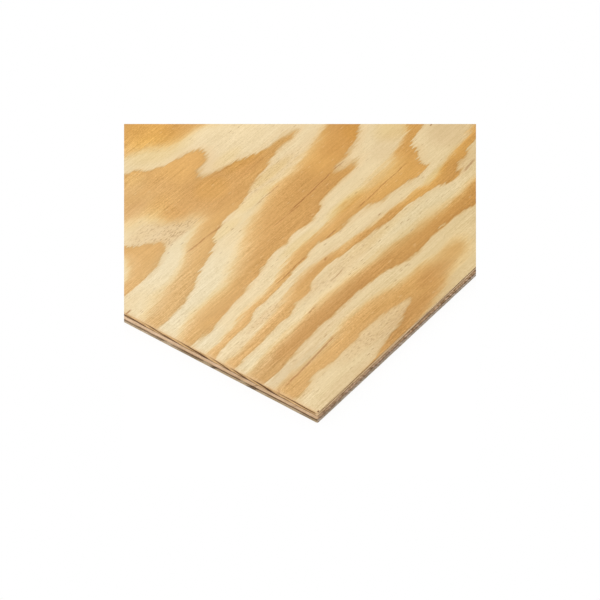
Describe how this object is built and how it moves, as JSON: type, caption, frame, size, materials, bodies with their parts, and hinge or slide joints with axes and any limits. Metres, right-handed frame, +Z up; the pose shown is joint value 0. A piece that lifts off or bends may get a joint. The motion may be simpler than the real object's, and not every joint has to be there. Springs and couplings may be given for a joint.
{
  "type": "plywood sheet",
  "caption": "Full sheet of softwood sheathing plywood with cross-laid pine veneers and bold cathedral grain, lying flat.",
  "frame": {"origin": "middle of the underside of the sheet, where it rests on the floor", "axes": "+X along the grain of the face veneer, the long way of the sheet; +Y across the sheet; +Z up, out of the face"},
  "size_m": [2.4384, 1.2192, 0.0111],
  "materials": {
    "face_pine": "matte",
    "core_pine": "matte",
    "back_pine": "matte"
  },
  "bodies": {
    "root": {"back_veneer": "back_pine", "core_veneer": "core_pine", "face_veneer": "face_pine"}
  },
  "joints": []
}
